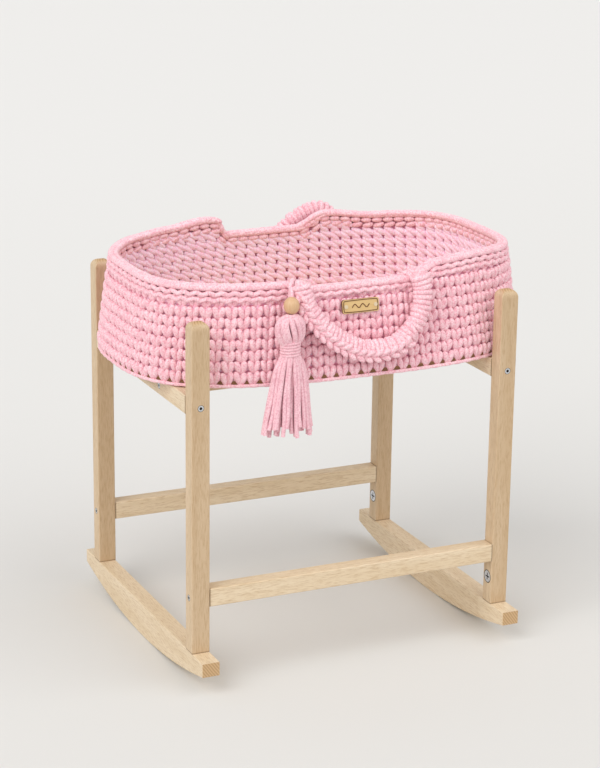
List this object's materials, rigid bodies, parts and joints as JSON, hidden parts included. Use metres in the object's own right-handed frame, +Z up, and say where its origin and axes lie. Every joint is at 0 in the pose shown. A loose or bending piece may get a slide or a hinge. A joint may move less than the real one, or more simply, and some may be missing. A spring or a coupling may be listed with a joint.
{
  "type": "bassinet on stand",
  "caption": "Small oval crocheted bassinet with two soft handles and a tassel, resting between the posts of a wooden rocking stand.",
  "frame": {"origin": "on the ground under the middle of the basket, where the rockers touch the floor", "axes": "+X along the basket, +Y across it towards the back, +Z up"},
  "size_m": [0.464, 0.36, 0.4381],
  "materials": {
    "beech": "fine sanded, clear matt oil",
    "zinc_steel": "zinc plated, satin",
    "plywood": "sanded birch plywood with a brown laser-cut edge",
    "pink_yarn": "crocheted jersey yarn, matt",
    "cotton_rope": "laid cotton rope",
    "tassel_yarn": "jersey yarn strands, matt",
    "turned_wood": "turned and waxed",
    "tag_wood": "thin wood with a browned cut edge",
    "tie_thread": "waxed thread"
  },
  "bodies": {
    "stand": {"rocker_left": "beech", "rocker_right": "beech", "leg_front_left": "beech", "leg_front_right": "beech", "leg_back_left": "beech", "leg_back_right": "beech", "low_rail_front": "beech", "low_rail_back": "beech", "cross_rail_left": "beech", "cross_rail_right": "beech", "bearer_front": "beech", "bearer_back": "beech", "cross_rail_screws": "zinc_steel", "low_rail_screws": "zinc_steel", "bearer_screws": "zinc_steel", "cam_locks": "zinc_steel", "cam_bolts": "zinc_steel"},
    "basket": {"base_board": "plywood", "base_round": "pink_yarn", "crochet_wall": "pink_yarn", "end_round_left": "pink_yarn", "end_round_right": "pink_yarn", "label_plate": "tag_wood", "label_ties": "tie_thread"},
    "handle_front": {"handle_front_core": "cotton_rope", "handle_front_cover": "pink_yarn"},
    "handle_back": {"handle_back_core": "cotton_rope", "handle_back_cover": "pink_yarn"},
    "tassel_hanger": {"tassel_loop": "tassel_yarn"},
    "tassel": {"tassel_cord": "tassel_yarn", "wood_bead": "turned_wood", "tassel_head": "tassel_yarn", "tassel_wrap": "tassel_yarn", "tassel_skirt": "tassel_yarn"}
  },
  "joints": [
    {"name": "basket_lift", "type": "slide", "parent": "stand", "child": "basket", "axis": [0, 0, 1], "range_m": [0, 0.15]},
    {"name": "handle_front_swing", "type": "hinge", "parent": "basket", "child": "handle_front", "pos_m": [-0.007, -0.1425, 0.422], "axis": [-1, 0, 0], "range_deg": [0, 180]},
    {"name": "handle_back_swing", "type": "hinge", "parent": "basket", "child": "handle_back", "pos_m": [0.008, 0.147, 0.424], "axis": [1, 0, 0], "range_deg": [0, 180]},
    {"name": "tassel_out", "type": "hinge", "parent": "basket", "child": "tassel_hanger", "pos_m": [-0.086, -0.1365, 0.4205], "axis": [-1, 0, 0], "range_deg": [0, 80]},
    {"name": "tassel_side", "type": "hinge", "parent": "tassel_hanger", "child": "tassel", "pos_m": [-0.086, -0.1365, 0.4205], "axis": [0, 1, 0], "range_deg": [0, 20]}
  ]
}
